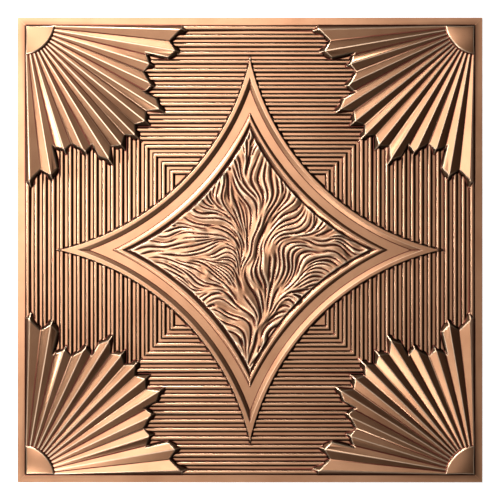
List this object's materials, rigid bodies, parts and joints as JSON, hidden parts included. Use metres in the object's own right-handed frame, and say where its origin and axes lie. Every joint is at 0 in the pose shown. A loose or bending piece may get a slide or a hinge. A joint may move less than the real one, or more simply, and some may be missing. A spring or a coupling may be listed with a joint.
{
  "type": "drop ceiling tile",
  "caption": "Square lay-in ceiling tile formed from one thin copper-finish sheet: mitred ribs, pleated corner fans and a star frame, with a flat rim that rests on a ceiling grid.",
  "frame": {"origin": "under the centre of the tile, on the plane of the rim's back face", "axes": "+Z out of the patterned face, +X and +Y along the edges, +Y towards the top of the picture"},
  "size_m": [0.603, 0.603, 0.0116],
  "materials": {
    "copper_finish": "satin metallic copper on a formed plastic sheet"
  },
  "bodies": {
    "root": {"ceiling_tile": "copper_finish"}
  },
  "joints": []
}
